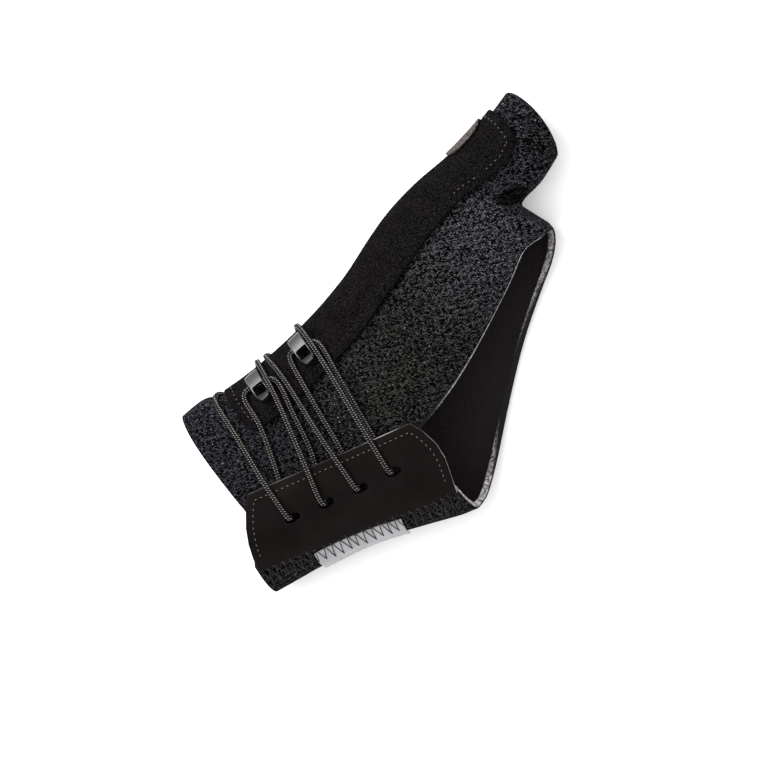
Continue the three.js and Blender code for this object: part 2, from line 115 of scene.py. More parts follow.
FACTOR, FIRST, SECOND, MIXED = 0, 6, 7, 2  # sockets of a Mix node set to colours
print("a dark grey in linear light:", [round(x, 4) for x in linear("#1b1b1e")])

# %% [markdown]
# ## Studio
# Black cloth needs much soft light and little gloss. A white room lights everything evenly, one broad
# lamp from the upper left gives the weave its relief, and a soft box low beyond the thumb edge is there
# to be mirrored in the flat tops of the plastic guides. The floor is pale and matt, and glows a little
# like a light table, so that shadows on it stay faint.

# %% White room
WHITE = (1, 1, 1, 1)
ROOM_LIGHT = 1.25
scene.view_settings.view_transform = "Standard"
world = bpy.data.worlds.new("white_room")
world.use_nodes = True
room = world.node_tree.nodes["Background"]
room.inputs["Color"].default_value = WHITE
room.inputs["Strength"].default_value = ROOM_LIGHT
scene.world = world
print("room light:", ROOM_LIGHT)

# %% Floor
FLOOR_REACH = 3  # metres to each side
FLOOR_BELOW = 0.1 * MM  # keeps the floor from sharing a plane with the cloth
FLOOR_GLOW = 0.16
PAPER_CLOUD = 15 * MM
floor_shape = bmesh.new()
bmesh.ops.create_grid(floor_shape, x_segments=1, y_segments=1, size=FLOOR_REACH,
                      matrix=Matrix.Translation((0, 0, -FLOOR_BELOW)))
floor_mesh = bpy.data.meshes.new("floor")
floor_shape.to_mesh(floor_mesh)
floor_shape.free()
floor = bpy.data.objects.new("floor", floor_mesh)
scene.collection.objects.link(floor)
paper = blank("matt_white_paper")  # an even white without gloss
place = add(paper, "ShaderNodeTexCoord", {}).outputs["Object"]
grain = add(paper, "ShaderNodeTexNoise", {"Vector": place, "Scale": 1 / PAPER_CLOUD, "Detail": 2.0})
tone = add(paper, "ShaderNodeMix", {FACTOR: grain.outputs["Fac"], FIRST: linear("#f4f4f4"),
                                    SECOND: linear("#f7f7f7")}, data_type="RGBA")
shader = add(paper, "ShaderNodeBsdfPrincipled", {
    "Base Color": tone.outputs[MIXED], "Roughness": 0.95, "Specular IOR Level": 0.1,
    "Emission Color": WHITE, "Emission Strength": FLOOR_GLOW})
add(paper, "ShaderNodeOutputMaterial", {"Surface": shader.outputs[0]})
floor_mesh.materials.append(paper)
print("floor of", 2 * FLOOR_REACH, "metres")

# %% Lamps
LAMPS = {  # direction from the brace, distance in metres, side in metres, watts
    "broad_lamp": ((-0.35, 0.3, 0.9), 1.2, 0.9, 1.6),
    "soft_box": ((-0.26, 0.78, 0.57), 0.9, 0.45, 10),
}
for name, (direction, distance, side, power) in LAMPS.items():
    lamp = bpy.data.lights.new(name, "AREA")
    lamp.shape = "SQUARE"
    lamp.size = side
    lamp.energy = power
    holder = bpy.data.objects.new(name, lamp)
    holder.location = AIM + Vector(direction).normalized() * distance
    holder.rotation_mode = "QUATERNION"
    holder.rotation_quaternion = (-Vector(direction)).to_track_quat("-Z", "Y")
    scene.collection.objects.link(holder)
print("lamps:", list(LAMPS))

# %% [markdown]
# ## Knitted mesh
# Spacer mesh is a polyester knit over a thin foam. The legs of its loops are short flecks of yarn that
# lean both ways, and a leg shines or lies in shade as its yarn happens to turn. Between them the knit
# leaves rows of small open pits. Two Voronoi patterns, stretched along the legs, give a cell for each
# leg: the cell's random colour decides how bright its yarn is, and the distance from its middle makes
# it a small bump. The pits are a square lattice, the sum of two cosines. Both are drawn in a map of the
# cloth laid flat, so they follow the surface. The dye looks greener on the palm and bluer at both ends,
# and the knit is drawn lighter towards the web of the thumb. In the crease under the thumb tube's front
# a small arch is painted dark, as painted shade where the tube overhangs, which also flattens the relief.

# %% Material: knitted spacer mesh, its pits and legs of yarn
PIT_PITCH = 2.7 * MM
PIT_TURN = math.radians(-12)
LEG = (0.95 * MM, 0.25 * MM, 1)  # length and width of a leg of yarn
LEGS = ((math.radians(0), 1.0), (math.radians(-50), 0.65))  # direction of a leg and how bright it is
knit = blank("polyester_spacer_mesh_knitted")  # short grey flecks over black pits
cloth = add(knit, "ShaderNodeUVMap", {}, uv_map="weave")
lattice = add(knit, "ShaderNodeMapping", {
    "Vector": cloth.outputs[0], "Rotation": (0, 0, PIT_TURN),
    "Scale": (PIT_PITCH / math.tau, PIT_PITCH / math.tau, 1)}, vector_type="TEXTURE")
waves = add(knit, "ShaderNodeVectorMath", {0: lattice.outputs[0]}, operation="COSINE")
parts = add(knit, "ShaderNodeSeparateXYZ", {0: waves.outputs[0]})
waves = add(knit, "ShaderNodeMath", {0: parts.outputs[0], 1: parts.outputs[1]})
pits = add(knit, "ShaderNodeMapRange", {"Value": waves.outputs[0], "From Min": 0.4, "From Max": 1.6})
open_knit = add(knit, "ShaderNodeMapRange", {"Value": pits.outputs[0], "To Min": 1.0, "To Max": 0.2})
legs = []
for turn, brightness in LEGS:
    lean = add(knit, "ShaderNodeMapping", {
        "Vector": cloth.outputs[0], "Rotation": (0, 0, turn), "Scale": LEG}, vector_type="TEXTURE")
    cells = add(knit, "ShaderNodeTexVoronoi", {"Vector": lean.outputs[0], "Scale": 1.0, "Randomness": 0.95},
                voronoi_dimensions="2D")
    chance = add(knit, "ShaderNodeSeparateColor", {"Color": cells.outputs["Color"]})
    luck = add(knit, "ShaderNodeMapRange", {"Value": chance.outputs[0], "From Min": 0.6, "From Max": 1.0,
                                            "To Max": brightness})
    crown = add(knit, "ShaderNodeMapRange", {"Value": cells.outputs["Distance"], "From Min": 0.6,
                                             "From Max": 0.1})
    leg = add(knit, "ShaderNodeMath", {0: luck.outputs[0], 1: crown.outputs[0]}, operation="MULTIPLY")
    legs.append(leg.outputs[0])
yarn = add(knit, "ShaderNodeMath", {0: legs[0], 1: legs[1]}, operation="MAXIMUM")
yarn = add(knit, "ShaderNodeMath", {0: yarn.outputs[0], 1: open_knit.outputs[0]}, operation="MULTIPLY")
print("knit pits every", PIT_PITCH / MM, "mm")

# %% Knit: painted shade in the crease, and lighter knit near the web of the thumb
WEB = Vector((54, 17, 22)) * MM
WEB_REACH = 45 * MM
# painted shade: inside this ellipse, the crease under the thumb tube's overhang, the knit is darkened
CREASE_SHADE_AT = Vector((65.4, 33, 18)) * MM
CREASE_SHADE_SIZE = Vector((8, 3.8, 9)) * MM
place = add(knit, "ShaderNodeTexCoord", {}).outputs["Object"]
crease_shade = add(knit, "ShaderNodeMapping", {
    "Vector": place, "Location": CREASE_SHADE_AT, "Scale": CREASE_SHADE_SIZE}, vector_type="TEXTURE")
crease_shade = add(knit, "ShaderNodeVectorMath", {0: crease_shade.outputs[0]}, operation="LENGTH")
crease_shade = add(knit, "ShaderNodeMapRange", {
    "Value": crease_shade.outputs["Value"], "From Min": 0.75, "From Max": 1.05, "To Min": 0.18})
yarn = add(knit, "ShaderNodeMath", {0: yarn.outputs[0], 1: crease_shade.outputs[0]}, operation="MULTIPLY")
# the knit is drawn lighter within WEB_REACH of the web of the thumb
lighter_near_web = add(knit, "ShaderNodeVectorMath", {0: place, 1: WEB}, operation="DISTANCE")
lighter_near_web = add(knit, "ShaderNodeMapRange", {"Value": lighter_near_web.outputs["Value"], "From Max": WEB_REACH,
                                           "To Min": 1.0, "To Max": 0.0})
print("tuck in mm:", [round(x / MM, 1) for x in CREASE_SHADE_SIZE])

# %% Knit: dye
TINT_REACH = 30 * MM
PALM_REACH = 85 * MM
dye = add(knit, "ShaderNodeTexNoise", {"Vector": place, "Scale": 1 / TINT_REACH})
ends = add(knit, "ShaderNodeVectorMath", {0: place}, operation="LENGTH")
ends = add(knit, "ShaderNodeMapRange", {"Value": ends.outputs["Value"], "From Max": PALM_REACH,
                                        "To Min": -0.75, "To Max": 0.4})
dye = add(knit, "ShaderNodeMath", {0: dye.outputs["Fac"], 1: ends.outputs[0]}, use_clamp=True)
tint = add(knit, "ShaderNodeMix", {FACTOR: dye.outputs[0], FIRST: linear("#5c5c56"),
                                   SECOND: linear("#5f5c67")}, data_type="RGBA")
tint = add(knit, "ShaderNodeMix", {FACTOR: lighter_near_web.outputs[0], FIRST: tint.outputs[MIXED],
                                   SECOND: linear("#8d8994")}, data_type="RGBA")
print("palm colour within", PALM_REACH / MM, "mm")

# %% Knit: glints, tone and relief
GLINTS = (0.98, 0.995)  # of a leg's chance: none glints below the first, each one above the second
glint = add(knit, "ShaderNodeMapRange", {
    "Value": chance.outputs[1], "From Min": GLINTS[0], "From Max": GLINTS[1]})
tint = add(knit, "ShaderNodeMix", {FACTOR: glint.outputs[0], FIRST: tint.outputs[MIXED],
                                   SECOND: linear("#b9b6b4")}, data_type="RGBA")
tone = add(knit, "ShaderNodeMix", {FACTOR: yarn.outputs[0], FIRST: linear("#020202"),
                                   SECOND: tint.outputs[MIXED]}, data_type="RGBA")
relief = add(knit, "ShaderNodeBump", {"Height": yarn.outputs[0], "Strength": 0.7, "Distance": 0.35 * MM})
shader = add(knit, "ShaderNodeBsdfPrincipled", {
    "Base Color": tone.outputs[MIXED], "Roughness": 0.85, "Specular IOR Level": 0.01,
    "Normal": relief.outputs[0]})
add(knit, "ShaderNodeOutputMaterial", {"Surface": shader.outputs[0]})
print("nodes in the knit:", len(knit.node_tree.nodes))

# %% [markdown]
# ## Lining
# Inside, the mesh has a brushed tricot lining: near black and matt, with a short pile that hardly
# shows. It is bonded to the foam, so it is the inner side of the sleeve and needs no cloth of its own.
# One noise as wide as the tufts of the pile gives it both tone and relief.

# %% Material: brushed tricot lining
PILE = 0.8 * MM
lining = blank("brushed_tricot_lining")  # near black, with hardly any relief
place = add(lining, "ShaderNodeTexCoord", {}).outputs["Object"]
pile = add(lining, "ShaderNodeTexNoise", {"Vector": place, "Scale": 1 / PILE, "Detail": 3.0})
tone = add(lining, "ShaderNodeMix", {FACTOR: pile.outputs["Fac"], FIRST: linear("#0b090a"),
                                     SECOND: linear("#2a2528")}, data_type="RGBA")
relief = add(lining, "ShaderNodeBump", {
    "Height": pile.outputs["Fac"], "Strength": 0.3, "Distance": 0.1 * MM})
shader = add(lining, "ShaderNodeBsdfPrincipled", {
    "Base Color": tone.outputs[MIXED], "Roughness": 0.9, "Specular IOR Level": 0.08,
    "Normal": relief.outputs[0]})
add(lining, "ShaderNodeOutputMaterial", {"Surface": shader.outputs[0]})
print("pile in mm:", PILE / MM)

# %% [markdown]
# ## Cut foam
# Where the cloth is cut, the foam between its two faces shows as a thin light line beside the dark
# outer face, uneven because small cells are open at the cut. An image could be painted for the edge,
# but an attribute does it without one: it goes from 0 at the outer face to 1 at the inner one and tells
# where the foam begins. The same cut is made in two shades, because the front panel and the end of the
# strip are paler there than the rest.

# %% Materials: cut foam
CELL = 0.75 * MM
FADE = 0.2  # share of the cut over which the dark line ends
FOAMS = {  # shade on a cell wall, shade inside a cell, where the outer dark line ends across the cut
    "grey_foam_knife_cut": ("#918b8f", "#282528", 0.35),
    "pale_foam_knife_cut": ("#bfbabc", "#3c383a", 0.3),
}
foams = []
for name, (wall, hole, outer) in FOAMS.items():
    foam = blank(name)  # a light line, speckled by open cells
    place = add(foam, "ShaderNodeTexCoord", {}).outputs["Object"]
    cells = add(foam, "ShaderNodeTexVoronoi", {"Vector": place, "Scale": 1 / CELL})
    chance = add(foam, "ShaderNodeSeparateColor", {"Color": cells.outputs["Color"]})
    across = add(foam, "ShaderNodeAttribute", {}, attribute_name="cut")
    begins = add(foam, "ShaderNodeMapRange", {"Value": across.outputs["Fac"], "From Min": outer - FADE,
                                              "From Max": outer})
    torn = add(foam, "ShaderNodeMix", {
        FACTOR: chance.outputs[0], FIRST: linear(hole), SECOND: linear(wall)}, data_type="RGBA")
    tone = add(foam, "ShaderNodeMix", {FACTOR: begins.outputs[0], FIRST: linear("#0f0d0e"),
                                       SECOND: torn.outputs[MIXED]}, data_type="RGBA")
    relief = add(foam, "ShaderNodeBump", {"Height": cells.outputs["Distance"], "Strength": 0.5,
                                          "Distance": 0.2 * MM})
    shader = add(foam, "ShaderNodeBsdfPrincipled", {
        "Base Color": tone.outputs[MIXED], "Roughness": 0.9, "Specular IOR Level": 0.2,
        "Normal": relief.outputs[0]})
    add(foam, "ShaderNodeOutputMaterial", {"Surface": shader.outputs[0]})
    foams.append(foam)
print("foam cell in mm:", CELL / MM)

# %% [markdown]
# ## Suede
# The strip over the thumb-side fold is microfibre suede, brushed until it has a fine nap: it has no
# gloss and is lighter where the tufts point at the light. Hair could be grown on it, but would be far
# too much for so short a nap. Two noises do it instead, one as fine as the tufts and one as broad as a
# stroke of the brush: together they set the tone, and the fine one also lifts the surface.

# %% Material: brushed suede
NAP = 0.45 * MM  # real nap is finer and is drawn as coarse as the picture can show
BRUSHED = 5 * MM
BRUSH_SHARE = 0.12
suede = blank("microfibre_suede_brushed")  # a deep matt black with small lighter tufts
place = add(suede, "ShaderNodeTexCoord", {}).outputs["Object"]
nap = add(suede, "ShaderNodeTexNoise", {"Vector": place, "Scale": 1 / NAP, "Detail": 1.0})
brushed = add(suede, "ShaderNodeTexNoise", {"Vector": place, "Scale": 1 / BRUSHED})
height = add(suede, "ShaderNodeMix", {
    FACTOR: BRUSH_SHARE, "A": nap.outputs["Fac"], "B": brushed.outputs["Fac"]})
tufts = add(suede, "ShaderNodeMapRange", {"Value": height.outputs[0], "From Min": 0.42, "From Max": 0.76})
tone = add(suede, "ShaderNodeMix", {FACTOR: tufts.outputs[0], FIRST: linear("#020202"),
                                    SECOND: linear("#211e20")}, data_type="RGBA")
relief = add(suede, "ShaderNodeBump", {
    "Height": nap.outputs["Fac"], "Strength": 0.5, "Distance": 0.15 * MM})
shader = add(suede, "ShaderNodeBsdfPrincipled", {
    "Base Color": tone.outputs[MIXED], "Roughness": 0.95, "Specular IOR Level": 0.01,
    "Normal": relief.outputs[0]})
add(suede, "ShaderNodeOutputMaterial", {"Surface": shader.outputs[0]})
print("nap in mm:", NAP / MM)

# %% [markdown]
# ## Synthetic leather
# The pull tab is coated synthetic leather, warm black, with an embossed pebble grain and a low gloss.
# Smooth Voronoi cells have the rounded edges that a press leaves, so they give the relief, and a broad
# noise makes the tone a little uneven, as handling does. The raw edge of the tab is a material of its
# own: grey fibres, drawn lighter towards the fingers.

# %% Material: embossed synthetic leather
PEBBLE = 0.6 * MM
RUBBED = 14 * MM
leather = blank("coated_synthetic_leather_embossed")  # warm black, with a low gloss over fine pebbles
place = add(leather, "ShaderNodeTexCoord", {}).outputs["Object"]
pebbles = add(leather, "ShaderNodeTexVoronoi", {"Vector": place, "Scale": 1 / PEBBLE},
              feature="SMOOTH_F1")
rubbed = add(leather, "ShaderNodeTexNoise", {"Vector": place, "Scale": 1 / RUBBED, "Detail": 3.0})
tone = add(leather, "ShaderNodeMix", {FACTOR: rubbed.outputs["Fac"], FIRST: linear("#050404"),
                                      SECOND: linear("#1a1414")}, data_type="RGBA")
relief = add(leather, "ShaderNodeBump", {"Height": pebbles.outputs["Distance"], "Strength": 0.25,
                                         "Distance": 0.1 * MM})
shader = add(leather, "ShaderNodeBsdfPrincipled", {
    "Base Color": tone.outputs[MIXED], "Roughness": 0.62, "Specular IOR Level": 0.03,
    "Normal": relief.outputs[0]})
add(leather, "ShaderNodeOutputMaterial", {"Surface": shader.outputs[0]})
print("pebble in mm:", PEBBLE / MM)

# %% Material: raw edge of the leather
LIGHTER_FROM = (-60 * MM, -8 * MM)  # the edge gets lighter between these places along the hand
raw_edge = blank("synthetic_leather_raw_edge")  # a thin grey line, broken by darker stretches
place = add(raw_edge, "ShaderNodeTexCoord", {}).outputs["Object"]
fibres = add(raw_edge, "ShaderNodeTexNoise", {"Vector": place, "Scale": 1 / RUBBED, "Detail": 4.0})
edge_pale = add(raw_edge, "ShaderNodeMapRange", {
    "Value": fibres.outputs["Fac"], "From Min": 0.4, "From Max": 0.62})
along_tab = add(raw_edge, "ShaderNodeSeparateXYZ", {0: place})
toward_fingers = add(raw_edge, "ShaderNodeMapRange", {
    "Value": along_tab.outputs[0], "From Min": LIGHTER_FROM[0], "From Max": LIGHTER_FROM[1], "To Min": 0.15})
edge_pale = add(raw_edge, "ShaderNodeMath", {0: edge_pale.outputs[0], 1: toward_fingers.outputs[0]}, operation="MULTIPLY")
tone = add(raw_edge, "ShaderNodeMix", {FACTOR: edge_pale.outputs[0], FIRST: linear("#2a2624"),
                                       SECOND: linear("#a8a29d")}, data_type="RGBA")
shader = add(raw_edge, "ShaderNodeBsdfPrincipled", {
    "Base Color": tone.outputs[MIXED], "Roughness": 0.85, "Specular IOR Level": 0.2})
add(raw_edge, "ShaderNodeOutputMaterial", {"Surface": shader.outputs[0]})
print("edge rubbed between, in mm:", [round(x / MM) for x in LIGHTER_FROM])

# %% [markdown]
# ## Dotted jersey
# The small patch near the end of the thumb is a grey jersey with raised dots. Voronoi cells with little
# randomness are a nearly even field of dots, and the distance from the middle of each gives its tone
# and its height, so no dot has to be modelled.

# %% Material: dotted jersey
DOT = 0.8 * MM
jersey = blank("grey_jersey_dotted")  # pale dots on a darker ground
place = add(jersey, "ShaderNodeTexCoord", {}).outputs["Object"]
dots = add(jersey, "ShaderNodeTexVoronoi", {"Vector": place, "Scale": 1 / DOT, "Randomness": 0.35})
raised = add(jersey, "ShaderNodeMapRange", {
    "Value": dots.outputs["Distance"], "From Min": 0.2, "From Max": 0.55})
tone = add(jersey, "ShaderNodeMix", {FACTOR: raised.outputs[0], FIRST: linear("#655e5b"),
                                     SECOND: linear("#2a2524")}, data_type="RGBA")
relief = add(jersey, "ShaderNodeBump", {"Height": dots.outputs["Distance"], "Strength": 0.4,
                                        "Distance": 0.15 * MM}, invert=True)
shader = add(jersey, "ShaderNodeBsdfPrincipled", {
    "Base Color": tone.outputs[MIXED], "Roughness": 0.8, "Specular IOR Level": 0.1,
    "Normal": relief.outputs[0]})
add(jersey, "ShaderNodeOutputMaterial", {"Surface": shader.outputs[0]})
print("dot in mm:", DOT / MM)

# %% [markdown]
# ## Satin
# The ribbon is a satin, woven so that the warp floats on top: it is light and smooth along its length.
# A Wave texture at the spacing of the weft gives the fine ribs, and a noise as long as a float breaks
# their shine into clouds.

# %% Material: woven satin
WEFT = 0.5 * MM
FLOAT = 6 * MM
WAVE_TURN = 20  # radians that a Wave texture of scale 1 turns by in one metre
satin = blank("polyester_satin_woven")  # pale and smooth, with a soft sheen along the ribs
place = add(satin, "ShaderNodeTexCoord", {}).outputs["Object"]
ribs = add(satin, "ShaderNodeTexWave", {
    "Vector": place, "Scale": math.tau / WAVE_TURN / WEFT, "Distortion": 1.5,
    "Detail": 2.0, "Detail Scale": 2.0}, bands_direction="X")
clouds = add(satin, "ShaderNodeTexNoise", {"Vector": place, "Scale": 1 / FLOAT, "Detail": 2.0})
shade = add(satin, "ShaderNodeMath", {
    0: ribs.outputs["Fac"], 1: clouds.outputs["Fac"]}, operation="MULTIPLY")
tone = add(satin, "ShaderNodeMix", {FACTOR: shade.outputs[0], FIRST: linear("#77777b"),
                                    SECOND: linear("#c6c6c9")}, data_type="RGBA")
relief = add(satin, "ShaderNodeBump", {
    "Height": ribs.outputs["Fac"], "Strength": 0.2, "Distance": 0.08 * MM})
shader = add(satin, "ShaderNodeBsdfPrincipled", {
    "Base Color": tone.outputs[MIXED], "Roughness": 0.42, "Specular IOR Level": 0.5,
    "Normal": relief.outputs[0]})
add(satin, "ShaderNodeOutputMaterial", {"Surface": shader.outputs[0]})
print("weft in mm:", WEFT / MM)

# %% [markdown]
# ## Moulded nylon
# The lace guides are moulded nylon, black and glossy. A mould leaves a very faint unevenness, which
# softens the mirror image of the lamps, so one noise varies the gloss and bends the surface very
# slightly. A plain gloss would look like glass.

# %% Material: moulded nylon
MOULD_MARK = 1.5 * MM
nylon = blank("black_nylon_moulded")  # black, with soft bright reflections on its flat tops
place = add(nylon, "ShaderNodeTexCoord", {}).outputs["Object"]
ripple = add(nylon, "ShaderNodeTexNoise", {"Vector": place, "Scale": 1 / MOULD_MARK, "Detail": 2.0})
gloss = add(nylon, "ShaderNodeMapRange", {"Value": ripple.outputs["Fac"], "To Min": 0.2, "To Max": 0.34})
tone = add(nylon, "ShaderNodeMix", {FACTOR: ripple.outputs["Fac"], FIRST: linear("#0c0c0e"),
                                    SECOND: linear("#151517")}, data_type="RGBA")
relief = add(nylon, "ShaderNodeBump", {"Height": ripple.outputs["Fac"], "Strength": 0.05,
                                       "Distance": 0.2 * MM})
shader = add(nylon, "ShaderNodeBsdfPrincipled", {
    "Base Color": tone.outputs[MIXED], "Roughness": gloss.outputs[0], "IOR": 1.53,
    "Normal": relief.outputs[0]})
add(nylon, "ShaderNodeOutputMaterial", {"Surface": shader.outputs[0]})
print("mould mark in mm:", MOULD_MARK / MM)

# %% [markdown]
# ## Yarns
# The laces are braided from black polyester yarn, and their thin light strands are painted highlight,
# the gloss of the braid where a strand comes over a crossing. The thread of the seams is spun polyester
# in two shades: the darker one is the zigzag's thread, and on the suede it is painted shade where the
# seam sinks into the nap. The four differ only in shade and gloss, so one loop makes them all.

# %% Materials: braided yarns and spun threads
FILAMENT = 0.15 * MM  # a bundle of filaments, because a single one is too fine to show
YARNS = {  # shade between filaments, shade on them, roughness
    "black_polyester_yarn_braided": ("#050404", "#131111", 0.6),
    # painted highlight: this light yarn stands for the braid's gloss at its crossings
    "grey_polyester_yarn_braided": ("#928d89", "#c8c3bf", 0.6),
    "light_polyester_thread_spun": ("#45413e", "#787470", 0.7),
    "dark_polyester_thread_spun": ("#0f0e0e", "#3b3733", 0.7),
}
yarns = []
for name, (low_shade, high_shade, roughness) in YARNS.items():
    spun = blank(name)  # dull, and a little uneven along the strand
    place = add(spun, "ShaderNodeTexCoord", {}).outputs["Object"]
    filaments = add(spun, "ShaderNodeTexNoise", {"Vector": place, "Scale": 1 / FILAMENT, "Detail": 1.0})
    tone = add(spun, "ShaderNodeMix", {FACTOR: filaments.outputs["Fac"], FIRST: linear(low_shade),
                                       SECOND: linear(high_shade)}, data_type="RGBA")
    shader = add(spun, "ShaderNodeBsdfPrincipled", {
        "Base Color": tone.outputs[MIXED], "Roughness": roughness, "Specular IOR Level": 0.15})
    add(spun, "ShaderNodeOutputMaterial", {"Surface": shader.outputs[0]})
    yarns.append(spun)
black_yarn, highlight_yarn, light_thread, dark_thread = yarns
print("yarns:", list(YARNS))

# %% [markdown]
# ## From a solid to a soft surface
# A solid arrives as loose triangles. Merging its doubles and pairing the triangles into quads gives a
# mesh that a Subdivision Surface can round, and creases keep the cut edges crisp. Faces that meet at
# gentle edges belong to one side of the cloth, so growing from face to face tells the outside, the
# inside and the cut edge apart.

# %% A solid as quads, and its sides
MERGE = 0.002 * MM
SHARP = math.radians(50)
PAIR_SHAPE = math.radians(60)


def copy_of(name):
    """The shape of a solid, merged and with its triangles paired into quads."""
    shape = bmesh.new()
    shape.from_mesh(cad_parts[name].data)
    bmesh.ops.remove_doubles(shape, verts=shape.verts[:], dist=MERGE)
    bmesh.ops.join_triangles(shape, faces=shape.faces[:], angle_face_threshold=SHARP,
                             angle_shape_threshold=PAIR_SHAPE)
    shape.verts.index_update()
    shape.faces.index_update()
    return shape


def grow(faces, joins):
    """The faces in groups, grown over the edges that join them, the largest group first."""
    left = set(faces)
    groups = []
    for seed in faces:
        if seed not in left:
            continue
        left.remove(seed)
        group = [seed]
        for face in group:
            for edge in filter(joins, face.edges):
                fresh = [other for other in edge.link_faces if other in left]
                left.difference_update(fresh)
                group += fresh
        groups.append(group)
    return sorted(groups, key=lambda group: -sum(face.calc_area() for face in group))


def sides(shape):
    """The sides of a shape: its faces in groups that meet at gentle edges."""
    return grow(shape.faces[:], lambda edge: edge.calc_face_angle(math.pi) < SHARP)


# %% Crisp and round edges
def crease(shape, amount):
    """Keeps the sharp edges of a shape crisp when it is subdivided."""
    layer = shape.edges.layers.float.new("crease_edge")
    for edge in shape.edges:
        if edge.calc_face_angle(0) > SHARP:
            edge[layer] = amount


def round_edges(piece, width, segments, angle):
    """Gives the edges of a piece that are sharper than an angle a small radius."""
    rounding = piece.modifiers.new("rounding", "BEVEL")
    rounding.width = width
    rounding.segments = segments
    rounding.limit_method = "ANGLE"
    rounding.angle_limit = angle
    rounding.material = -1


# %% From a shape to a finished piece
def piece_of(shape, name, materials, slot, *nodes, levels=0):
    """Makes the finished object of a shape, attaches it to the root and hides its solids."""
    mesh = bpy.data.meshes.new(name)
    shape.to_mesh(mesh)
    shape.free()
    mesh.shade_smooth()
    for material in materials:
        mesh.materials.append(material)
    piece = bpy.data.objects.new(name, mesh)
    scene.collection.objects.link(piece)
    if levels:
        rounding = piece.modifiers.new("rounding", "SUBSURF")
        rounding.levels = levels
        rounding.render_levels = levels
    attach(piece, "root")
    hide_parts(*nodes)
    print(name, "faces:", len(mesh.polygons))
    return piece


# %% [markdown]
# ## The sleeve
# The sleeve is one padded sheet: knitted mesh outside, lining inside, foam at the cut. All three are
# sides of the same solid, so it is one piece with several materials. The foam shows only where the edge
# of the cloth is turned to the eye: along the finger opening of the front panel, where the cut slants,
# at the end of the strip and where the back panel curls up. Elsewhere the cut is closed by its dark
# threads, and the side of the strip's cut that lies under the tab is painted near-black as painted shade.
# At the tip of the thumb its inner edge is also drawn back a little, so that the knit ends the tube.
# Moving the edges of one shape keeps the sleeve closed, which separate strips of foam would not.

# %% Sleeve: its sides
LINING, FOAM, PALE_FOAM = 1, 2, 3  # places in the sleeve's list of materials, after the knit
sleeve_shape = copy_of("body_shell")
across = sleeve_shape.verts.layers.float.new("cut")
outside, inside, *cuts = sides(sleeve_shape)
for face in inside:
    face.material_index = LINING
print("faces outside and inside:", len(outside), len(inside))

# %% Sleeve: its cut edges
SLANT = 1.7 * MM  # how far the inner edge of the cut stands out
TIP_BACK = 1.0 * MM  # how far it is drawn back at the tip of the thumb tube
FRONT_EDGE = 12 * MM  # cuts above this height belong to the front panel
CURL = (3.6 * MM, 6.4 * MM)  # the back panel's foam comes out between these heights
FRONT_FOAM = (-32 * MM, -10 * MM)  # and the front panel's between these places across the hand
STRIP_EDGE = -50 * MM  # cuts beyond this place and above the curl belong to the end strip
TIP_CORNER = (60 * MM, 30 * MM)  # cuts beyond these places along and across are the tip of the thumb
TO_WRIST = -0.5  # a cut whose normal runs less than this along the hand is the wrist edge
SLEEVE_CREASE = 0.7

inner_verts = {vert for face in inside for vert in face.verts}
slanted, drawn_back = {}, {}  # the points of an inner edge, each with the normals of its cuts
for face in (face for group in cuts for face in group):
    middle = face.calc_center_median()
    if face.normal.x < TO_WRIST:
        face.material_index = LINING
        continue
    moved = None
    if middle.x > TIP_CORNER[0] and middle.y > TIP_CORNER[1]:
        face.material_index = LINING
        moved = drawn_back
    elif middle.y < STRIP_EDGE and middle.z > CURL[1]:
        # painted shade: the strip's cut on the side under the tab gets the near-black lining instead of
        # foam
        to_fingers = face.normal.x > face.normal.y  # the other side of the strip lies under the tab
        face.material_index = PALE_FOAM if to_fingers else LINING
    elif middle.z > FRONT_EDGE:
        face.material_index = PALE_FOAM
        moved = slanted
    else:
        face.material_index = FOAM
    for vert in inner_verts & set(face.verts):
        place, (start, full) = (vert.co.y, FRONT_FOAM) if moved is slanted else (vert.co.z, CURL)
        vert[across] = min(max((place - start) / (full - start), 0), 1)
        if moved is not None:
            moved.setdefault(vert, []).append(face.normal.copy())
for moved, reach in ((slanted, SLANT), (drawn_back, -TIP_BACK)):
    for vert, normals in moved.items():
        vert.co += sum(normals, Vector()).normalized() * reach
crease(sleeve_shape, SLEEVE_CREASE)
print("cut slanted at", len(slanted), "points and drawn back at", len(drawn_back))

# %% [markdown]
# The knit needs a flat map. The cloth is unwrapped along a seam that follows the thumb-side fold, where
# the suede hides it, and the fold of the thumb tube. Unwrapping leaves each part of the map with a size
# and a direction of its own, so each is scaled until its area is the cloth's own in square metres, and
# turned to lie along the hand.


# %% Seams of the flat map
def at_fold(edge):
    """Whether a gentle edge on the thumb side turns from the front to the back."""
    first, second = (face.normal.z for face in edge.link_faces)
    return first * second <= 0 and sum(vert.co.y for vert in edge.verts) > 0


for edge in sleeve_shape.edges:
    edge.seam = edge.calc_face_angle(math.pi) > SHARP or at_fold(edge)
map_parts = [[face.index for face in part] for part in grow(outside, lambda edge: not edge.seam)]
sleeve = piece_of(sleeve_shape, "mesh_sleeve", [knit, lining, *foams], "spacer_mesh", "body_shell",
                  levels=2)

